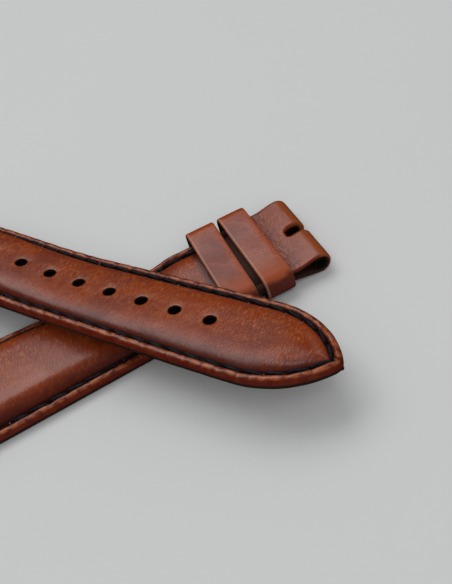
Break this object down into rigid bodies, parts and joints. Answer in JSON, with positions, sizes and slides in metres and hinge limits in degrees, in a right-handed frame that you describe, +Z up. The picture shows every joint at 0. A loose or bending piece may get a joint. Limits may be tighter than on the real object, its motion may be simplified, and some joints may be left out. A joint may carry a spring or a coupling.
{
  "type": "leather watch strap",
  "caption": "Padded two-piece leather watch strap with stitched edges, a pointed hole piece laid across a buckle piece with a fixed and a sliding keeper.",
  "frame": {"origin": "The middle of the buckle bar's hole in the short piece, on its axis and half way across the strap.", "axes": "+X runs along the short piece toward its buckle end, +Y runs across the strap along the bar hole, and +Z is up from the surface that the pair lies on."},
  "size_m": [0.0908, 0.1039, 0.0117],
  "materials": {
    "top_leather": "waxed brown calf, burnished orange and dark red toward the rims, fine straight fibres across the strap",
    "keeper_leather": "the same waxed calf, smooth and a little glossy, edges rubbed to orange",
    "keeper_inside": "flesh side of the keeper's leather, matt dark brown",
    "lining_leather": "matt brown lining leather with a fine nap",
    "seam_thread": "waxed linen thread, black with a blue cast, twisted",
    "filler_board": "bonded leather board, sanded to shape",
    "stay_tape": "woven reinforcement tape, off white",
    "bar_sleeve": "woven liner of the bar channel, dark, slightly shiny"
  },
  "bodies": {
    "short_piece": {"short_upper": "top_leather", "short_filler": "filler_board", "short_stay": "stay_tape", "short_lining": "lining_leather", "short_top_thread": "seam_thread", "short_under_thread": "seam_thread", "buckle_sleeve": "bar_sleeve", "short_lug_sleeve": "bar_sleeve", "fixed_keeper": "keeper_leather", "fixed_keeper_lining": "keeper_inside"},
    "sliding_keeper": {"free_keeper": "keeper_leather", "free_keeper_lining": "keeper_inside"},
    "long_piece": {"long_upper": "top_leather", "long_filler": "filler_board", "long_stay": "stay_tape", "long_lining": "lining_leather", "long_top_thread": "seam_thread", "long_under_thread": "seam_thread", "long_lug_sleeve": "bar_sleeve"}
  },
  "joints": [
    {"name": "free_keeper_slide", "type": "slide", "parent": "short_piece", "child": "sliding_keeper", "axis": [1, 0, 0], "range_m": [0, 0.0008]},
    {"name": "long_piece_lift", "type": "slide", "parent": "short_piece", "child": "long_piece", "axis": [0, 0, 1], "range_m": [0, 0.05]}
  ]
}
